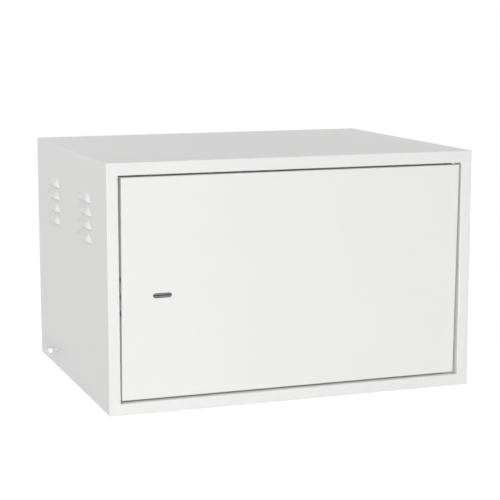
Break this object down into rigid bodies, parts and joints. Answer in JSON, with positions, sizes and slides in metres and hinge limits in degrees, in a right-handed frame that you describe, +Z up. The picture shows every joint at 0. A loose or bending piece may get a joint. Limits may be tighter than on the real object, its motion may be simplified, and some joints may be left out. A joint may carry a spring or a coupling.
{
  "type": "wall equipment cabinet",
  "caption": "Light grey sheet-steel cabinet for rack equipment with louvred sides, a flush key-locked door on hidden pivots, inner rack rails and an earthing stud.",
  "frame": {"origin": "middle of the casing's underside", "axes": "+X to the right seen from the front, +Y from the door to the rear panel, +Z up"},
  "size_m": [0.627, 0.47, 0.382],
  "materials": {
    "powder_coat": "light grey semi-gloss powder coat",
    "galvanised_sheet": "galvanised sheet",
    "zinc_plated_steel": "bright zinc plate",
    "phosphated_steel": "oiled grey phosphate",
    "lever_brass": "rolled brass",
    "nylon": "natural nylon",
    "black_rubber": "moulded rubber"
  },
  "bodies": {
    "cabinet": {"left_side_panel": "powder_coat", "right_side_panel": "powder_coat", "top_panel": "powder_coat", "bottom_panel": "powder_coat", "rear_panel": "powder_coat", "cable_entry_plate": "powder_coat", "left_frame_member": "powder_coat", "right_frame_member": "powder_coat", "top_frame_member": "powder_coat", "bottom_frame_member": "powder_coat", "strike_plate": "powder_coat", "left_rack_rail": "galvanised_sheet", "right_rack_rail": "galvanised_sheet", "lower_left_support": "galvanised_sheet", "upper_left_support": "galvanised_sheet", "lower_right_support": "galvanised_sheet", "upper_right_support": "galvanised_sheet", "ground_stud": "zinc_plated_steel", "ground_nut": "zinc_plated_steel", "ground_washer": "zinc_plated_steel", "rail_bolts": "zinc_plated_steel", "rail_nuts": "zinc_plated_steel", "entry_screws": "zinc_plated_steel", "upper_pivot_bush": "nylon", "lower_pivot_bush": "nylon", "cable_grommets": "black_rubber", "door_buffers": "black_rubber"},
    "door": {"door_panel": "powder_coat", "left_door_stiffener": "powder_coat", "right_door_stiffener": "powder_coat", "upper_pivot_pin": "zinc_plated_steel", "lower_pivot_pin": "zinc_plated_steel", "upper_pivot_plate": "powder_coat", "lower_pivot_plate": "powder_coat", "lock_case": "zinc_plated_steel", "lock_cover": "zinc_plated_steel", "cover_screws": "zinc_plated_steel", "lock_studs": "zinc_plated_steel", "lock_nuts": "zinc_plated_steel", "curtain_ring": "zinc_plated_steel", "lever_post": "zinc_plated_steel", "lever_spring": "zinc_plated_steel"},
    "bolt": {"lock_bolt": "zinc_plated_steel"},
    "curtain": {"key_curtain": "phosphated_steel"},
    "levers": {"lever_pack": "lever_brass"}
  },
  "joints": [
    {"name": "door_hinge", "type": "hinge", "parent": "cabinet", "child": "door", "pos_m": [0.2708, -0.2188, 0.02009], "axis": [0, -0.025, 0.9997], "range_deg": [0, 100]},
    {"name": "bolt_slide", "type": "slide", "parent": "door", "child": "bolt", "axis": [-1, 0, 0], "range_m": [0, 0.014]},
    {"name": "key_turn", "type": "hinge", "parent": "door", "child": "curtain", "pos_m": [-0.2142, -0.23029, 0.17945], "axis": [0, -0.9997, -0.025], "range_deg": [0, 180]},
    {"name": "lever_lift", "type": "hinge", "parent": "door", "child": "levers", "pos_m": [-0.1882, -0.23094, 0.20544], "axis": [0, 0.9997, 0.025], "range_deg": [0, 3]}
  ],
  "couplings": [
    {"joint": "key_turn", "follows": "bolt_slide", "rad_per_m": 224.39},
    {"joint": "lever_lift", "follows": "bolt_slide", "rad_per_m": 3.739}
  ]
}
